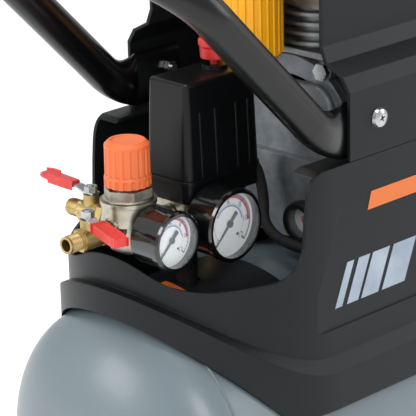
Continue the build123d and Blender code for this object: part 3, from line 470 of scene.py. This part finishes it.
def tank_welds():
    low, high = (Vector(c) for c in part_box("tank_shell"))
    radius = (high.z - low.z) / 2
    for name, x in (("front_seam", low.x + DOME_DEPTH), ("rear_seam", high.x - DOME_DEPTH)):
        place = Matrix.Translation((x, 0, (low.z + high.z) / 2)) @ turn_to((1, 0, 0))
        weld_bead(name, place, radius, 1.1 * MM, 150)
    for name, x, way in (("front_boss_weld", low.x + 1.2 * MM, -1), ("rear_boss_weld", high.x - 1.2 * MM, 1)):
        place = Matrix.Translation((x, 0, (low.z + high.z) / 2)) @ turn_to((way, 0, 0))
        weld_bead(name, place, 14.3 * MM, 1.5 * MM, 26)


# --- cover graphics ---
PANEL_INSET = 1.05 * MM  # from the widest point of the hood to the face of the prints


def wall_graphics():
    """Plain silver bars and a blank orange tag in the panel of each side wall."""
    low = Vector(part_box("top_hood")[0])
    face = low.y + PANEL_INSET
    thick = 0.5 * MM
    bars = [(-92, 8), (-76, 13), (-56, 20), (-28, 27)]
    for side, sign in (("near", 1), ("far", -1)):
        bm = bmesh.new()
        for x, width in bars:
            place = Matrix.Translation((x * MM, face * sign, 301 * MM))
            place = place @ turn_to((0, -sign, 0))
            box_at(bm, place, (width * MM, 34 * MM, thick), 0, 0.42 * sign)
        piece(f"{side}_wall_bars", bm, SILVER, "machine")
        bm = bmesh.new()
        place = Matrix.Translation((-34 * MM, face * sign, 361 * MM)) @ turn_to((0, -sign, 0))
        box_at(bm, place, (58 * MM, 14 * MM, thick), 0, 0.3 * sign)
        piece(f"{side}_wall_tag", bm, TAG_ORANGE, "machine")


def floor_sticker():
    """A blank orange sticker on the curved floor of the front bay, beside the riser."""
    low, high = (Vector(c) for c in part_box("tank_shell"))
    centre_z = (low.z + high.z) / 2
    radius = (high.z - low.z) / 2 + (2 + 2.5 + 0.15) * MM
    bm = bmesh.new()
    box_at(bm, Matrix.Identity(4), (1, 1, 1))
    bmesh.ops.subdivide_edges(bm, edges=bm.edges[:], cuts=6, use_grid_fill=True)
    for v in bm.verts:
        across, along = v.co.y * 27 * MM, v.co.x * 11 * MM
        y = -2 * MM + across
        x = -163 * MM + along + across * 0.15
        height = radius + (0.25 * MM if v.co.z > 0 else 0)
        angle = y / radius
        v.co = Vector((x, height * math.sin(angle), centre_z + height * math.cos(angle)))
    piece("bay_sticker", bm, TAG_ORANGE, "machine")


# --- small hardware ---
def screw_crosses():
    """Cross recesses in the two hood screws, drawn as flat near-black crosses that are painted shade for the
    hollows.
    """
    low, high = (Vector(c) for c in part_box("cover_screws"))
    z = 425 * MM
    for name, y, way in (("near_screw_cross_painted_shade", low.y, -1), ("far_screw_cross_painted_shade", high.y, 1)):
        bm = bmesh.new()
        for angle in (0.35, 0.35 + math.pi / 2):
            place = Matrix.Translation((-53 * MM, y, z)) @ turn_to((0, way, 0))
            box_at(bm, place @ Matrix.Rotation(angle, 4, "Z"), (5.2 * MM, 1.2 * MM, 0.2 * MM))
        piece(name, bm, PAINTED_RECESS_SHADE, "machine")


def oil_level_mark():
    """White backing disc and red mark behind the oil window."""
    low, high = (Vector(c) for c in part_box("sight_glass_lens"))
    centre = (low + high) / 2
    bm = bmesh.new()
    back = Matrix.Translation((high.x + 4 * MM, centre.y, centre.z)) @ turn_to((-1, 0, 0))
    bmesh.ops.create_circle(bm, cap_ends=True, segments=40, radius=11.6 * MM, matrix=back)
    piece("oil_window_backing", bm, FINISHES["dial_white"], "machine")
    bm = bmesh.new()
    mark = Matrix.Translation((high.x + 3.5 * MM, centre.y, centre.z)) @ turn_to((-1, 0, 0))
    bmesh.ops.create_circle(bm, cap_ends=True, segments=32, radius=4.2 * MM, matrix=mark)
    piece("oil_window_mark", bm, RED_DOT, "machine")


LEAD_DIAMETER = 8.8 * MM


def motor_lead():
    """Round rubber lead from the switch's gland to the motor. It is 8 to 9 mm thick and fairly stiff."""
    points = [
        (-74, 14, 368), (-52, 14, 368), (-50, 4, 338), (-60, -4, 310), (-57, -46, 300),
        (-30, -86, 301), (60, -96, 310), (117, -106, 340), (117, -106, 372), (117, -78, 372),
    ]
    curve = bpy.data.curves.new("motor_lead_line", "CURVE")
    curve.dimensions = "3D"
    curve.bevel_depth = LEAD_DIAMETER / 2
    curve.bevel_resolution = 4
    curve.resolution_u = 24
    curve.use_fill_caps = True
    line = curve.splines.new("NURBS")
    line.points.add(len(points) - 1)
    for point, place in zip(line.points, points):
        point.co = (*mm(*place), 1)
    line.order_u = 3
    line.use_endpoint_u = True
    curve.materials.append(FINISHES["cable_jacket"])
    lead = bpy.data.objects.new("motor_lead_jacket", curve)
    bpy.context.scene.collection.objects.link(lead)
    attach(lead, "machine")
    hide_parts("motor_lead")



# --- stage, light and camera ---
def stage():
    bpy.ops.mesh.primitive_plane_add(size=60, location=(0, 0, 0))
    floor = bpy.context.object
    floor.name = "studio_floor"
    mat, shader = material("matt_white_paper", Roughness=0.9)
    shader.inputs["Base Color"].default_value = linear("ffffff")
    floor.data.materials.append(mat)
    world = bpy.data.worlds.new("soft_room")
    bpy.context.scene.world = world
    world.use_nodes = True
    world.node_tree.nodes["Background"].inputs["Color"].default_value = linear("ffffff")
    world.node_tree.nodes["Background"].inputs["Strength"].default_value = 0.72
    bpy.context.scene.view_settings.view_transform = "Standard"
    lamps = {
        "key_softbox": ((-1.9, -2.3, 2.2), 1.2, 40),
        "fill_softbox": ((2.4, -1.8, 1.4), 1.6, 22),
        "top_softbox": ((-0.3, 0.4, 2.6), 1.4, 34),
        "side_strip": ((-2.4, 1.2, 1.2), 1.0, 22),
    }
    for name, (place, size, power) in lamps.items():
        light = bpy.data.lights.new(name, "AREA")
        light.shape, light.size, light.energy = "SQUARE", size, power
        lamp = bpy.data.objects.new(name, light)
        lamp.location = place
        aim = Vector((-0.1, 0, 0.35)) - Vector(place)
        lamp.rotation_euler = aim.to_track_quat("-Z", "Y").to_euler()
        bpy.context.scene.collection.objects.link(lamp)


def camera():
    """Looks down on the front left corner of the controls, from about two metres off."""
    around, above, roll = (math.radians(a) for a in (-45.0, 18.8, -1.4))
    back = Vector((math.sin(around) * math.cos(above), -math.cos(around) * math.cos(above), math.sin(above)))
    right = Vector((math.cos(around), math.sin(around), 0))
    up = back.cross(right)
    side = right * math.cos(roll) + up * math.sin(roll)
    top = up * math.cos(roll) - right * math.sin(roll)
    data = bpy.data.cameras.new("view")
    data.sensor_width = 36.0
    data.lens = 207.7
    data.clip_end = 60
    cam = bpy.data.objects.new("view", data)
    turn = Matrix((side, top, back)).transposed().to_4x4()
    cam.matrix_world = Matrix.Translation((-1.3763, -1.2580, 0.9484)) @ turn
    bpy.context.scene.collection.objects.link(cam)
    bpy.context.scene.camera = cam


camera()
stage()
motor_lead()
gauge_dials()
lever_sleeve("near_lever_sleeve", "near_valve_turn", "near_handle", 270 - LEAN, -1)
lever_sleeve("far_lever_sleeve", "far_valve_turn", "far_handle", 90, 1)
outlet_threads()
tank_welds()
wall_graphics()
floor_sticker()
screw_crosses()
oil_level_mark()
